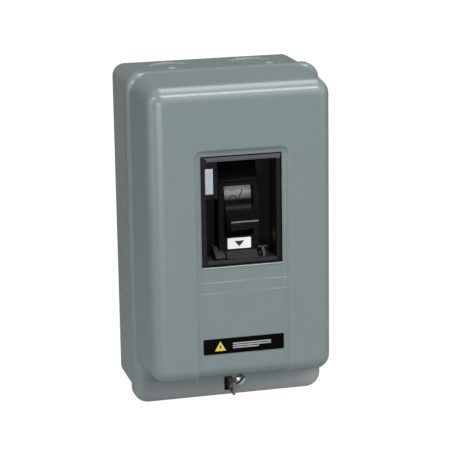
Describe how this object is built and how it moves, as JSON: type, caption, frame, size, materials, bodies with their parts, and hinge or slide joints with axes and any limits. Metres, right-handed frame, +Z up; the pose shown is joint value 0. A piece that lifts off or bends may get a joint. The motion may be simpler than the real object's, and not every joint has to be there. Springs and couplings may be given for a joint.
{
  "type": "enclosed manual motor starter",
  "caption": "Wall-mounted pressed steel case with a lift-off cover, a black bezel around a toggle handle with a reset position, a pilot lens, a padlock tab and the switch mechanism inside.",
  "frame": {"origin": "centre of the flat back mounting face, which lies in the plane Y = 0", "axes": "+X to the right seen from the front, +Y out of the back into the wall, +Z up as mounted"},
  "size_m": [0.127, 0.1064, 0.2184],
  "materials": {
    "case_paint": "grey-green baked enamel, semi-gloss",
    "cover_paint": "grey-green baked enamel, semi-gloss",
    "zinc": "zinc plated, slightly dull",
    "bright_screw": "bright zinc plate",
    "screw_steel": "zinc plated",
    "ground_green": "green dyed plating",
    "base_phenolic": "moulded phenolic, matt",
    "housing_phenolic": "moulded phenolic, matt",
    "copper": "bare copper strip",
    "contact_metal": "copper bridge with silver tips",
    "clamp_brass": "yellow passivated",
    "heater_metal": "nickel alloy, dull",
    "trip_red": "red moulded plastic",
    "spring_steel": "spring wire",
    "handle_black": "moulded phenolic, satin",
    "label_white": "printed polyester, satin",
    "carrier_brown": "brown moulded phenolic",
    "bezel_black": "black moulded plastic, satin",
    "lens_white": "opal polycarbonate",
    "lamp_glass": "clear glass neon lamp",
    "plate_black": "black printed foil"
  },
  "bodies": {
    "case": {"enclosure_box": "case_paint", "padlock_bracket": "zinc", "mounting_rails": "zinc", "ground_screw": "ground_green", "starter_base": "base_phenolic", "starter_screws": "screw_steel", "starter_housing": "housing_phenolic", "housing_screws": "screw_steel", "line_terminals": "copper", "load_links": "copper", "load_terminals": "copper", "line_clamps": "clamp_brass", "load_clamps": "clamp_brass", "line_terminal_screws": "screw_steel", "load_terminal_screws": "screw_steel", "heater_units": "heater_metal", "heater_screws": "screw_steel", "handle_shaft": "screw_steel", "handle_label": "label_white", "carrier_springs": "spring_steel", "trip_bar_spring": "spring_steel"},
    "handle": {"toggle_handle": "handle_black"},
    "carrier": {"contact_carrier": "carrier_brown", "moving_contacts": "contact_metal", "contact_springs": "spring_steel"},
    "trip": {"trip_bar": "trip_red"},
    "cover": {"front_cover": "cover_paint", "bezel": "bezel_black", "bezel_clips": "spring_steel", "pilot_lens": "lens_white", "pilot_lamp": "lamp_glass", "pilot_housing": "housing_phenolic", "nameplate": "plate_black"},
    "screw": {"cover_screw": "bright_screw", "screw_retainer": "spring_steel"}
  },
  "joints": [
    {"name": "cover_lift", "type": "slide", "parent": "case", "child": "cover", "axis": [0, -1, 0], "range_m": [0, 0.09]},
    {"name": "screw_turn", "type": "hinge", "parent": "cover", "child": "screw", "pos_m": [0.007, -0.061, -0.09805], "axis": [0, -1, 0], "continuous": true},
    {"name": "handle_turn", "type": "hinge", "parent": "case", "child": "handle", "pos_m": [0, -0.06, 0.0262], "axis": [-1, 0, 0], "range_deg": [-10, 25]},
    {"name": "carrier_slide", "type": "slide", "parent": "case", "child": "carrier", "axis": [0, 0, 1], "range_m": [-0.0065, 0.0027], "deforming": ["carrier_springs"]},
    {"name": "trip_turn", "type": "hinge", "parent": "case", "child": "trip", "pos_m": [0, -0.05, -0.013], "axis": [-1, 0, 0], "range_deg": [0, 12]}
  ],
  "couplings": [
    {"joint": "carrier_slide", "follows": "handle_turn", "m_per_rad": -0.0145}
  ]
}
